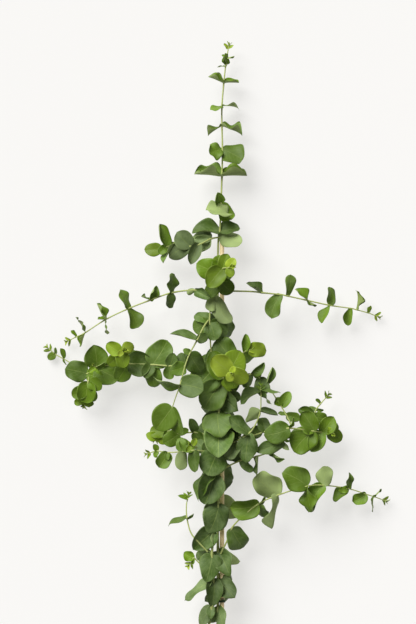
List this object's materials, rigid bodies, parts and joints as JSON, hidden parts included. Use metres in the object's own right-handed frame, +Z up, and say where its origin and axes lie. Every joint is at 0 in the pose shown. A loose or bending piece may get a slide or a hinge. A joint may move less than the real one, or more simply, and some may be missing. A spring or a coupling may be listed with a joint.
{
  "type": "eucalyptus branch",
  "caption": "Long cut eucalyptus branch with rounded blue-green leaves in pairs, arching side shoots and a slim support cane, lying on a surface.",
  "frame": {"origin": "middle of the underside of the lying branch's bounding box", "axes": "+Y from the cut ends to the leader's tip, +Z up from the surface it lies on, +X to the right seen from above"},
  "size_m": [0.5394, 0.9912, 0.1169],
  "materials": {
    "mature_leaf": "satin, with a grey waxy bloom",
    "young_leaf": "satin",
    "stem_bark": "smooth green bark",
    "cane_wood": "bare, smooth",
    "tie_band": "matt"
  },
  "bodies": {
    "root": {"bright_shoot": "young_leaf", "bright_tip_shoot": "young_leaf", "cane": "cane_wood", "drooping_twig": "mature_leaf", "leader_tip": "young_leaf", "left_arching_shoot": "mature_leaf", "left_bud_twig": "mature_leaf", "left_curled_shoot": "young_leaf", "left_hanging_shoot": "young_leaf", "left_low_twig": "mature_leaf", "left_spray": "mature_leaf", "left_yellow_shoot": "young_leaf", "lower_left_shoot": "mature_leaf", "lower_left_twig": "mature_leaf", "main_pair_1": "mature_leaf", "main_pair_10": "mature_leaf", "main_pair_11": "mature_leaf", "main_pair_12": "mature_leaf", "main_pair_13": "mature_leaf", "main_pair_14": "mature_leaf", "main_pair_15": "mature_leaf", "main_pair_16": "mature_leaf", "main_pair_17": "mature_leaf", "main_pair_2": "mature_leaf", "main_pair_3": "mature_leaf", "main_pair_4": "mature_leaf", "main_pair_5": "mature_leaf", "main_pair_6": "mature_leaf", "main_pair_7": "mature_leaf", "main_pair_8": "mature_leaf", "main_pair_9": "mature_leaf", "main_stem": "stem_bark", "right_arching_shoot": "mature_leaf", "right_bright_shoot": "young_leaf", "right_dark_twig": "mature_leaf", "right_low_spray": "mature_leaf", "right_lower_twig": "mature_leaf", "right_oval_twig": "mature_leaf", "right_spray": "mature_leaf", "right_tip_twig": "mature_leaf", "right_upper_twig": "mature_leaf", "right_wavy_twig": "mature_leaf", "second_pair_18": "mature_leaf", "second_pair_19": "mature_leaf", "second_pair_20": "mature_leaf", "second_pair_21": "mature_leaf", "second_pair_22": "mature_leaf", "second_pair_23": "mature_leaf", "second_pair_24": "mature_leaf", "second_pair_25": "mature_leaf", "second_pair_26": "mature_leaf", "second_pair_27": "mature_leaf", "second_pair_28": "mature_leaf", "second_pair_29": "mature_leaf", "second_pair_30": "mature_leaf", "second_stem": "stem_bark", "tie_1": "tie_band", "tie_2": "tie_band", "tie_3": "tie_band", "top_left_spray": "mature_leaf"}
  },
  "joints": []
}
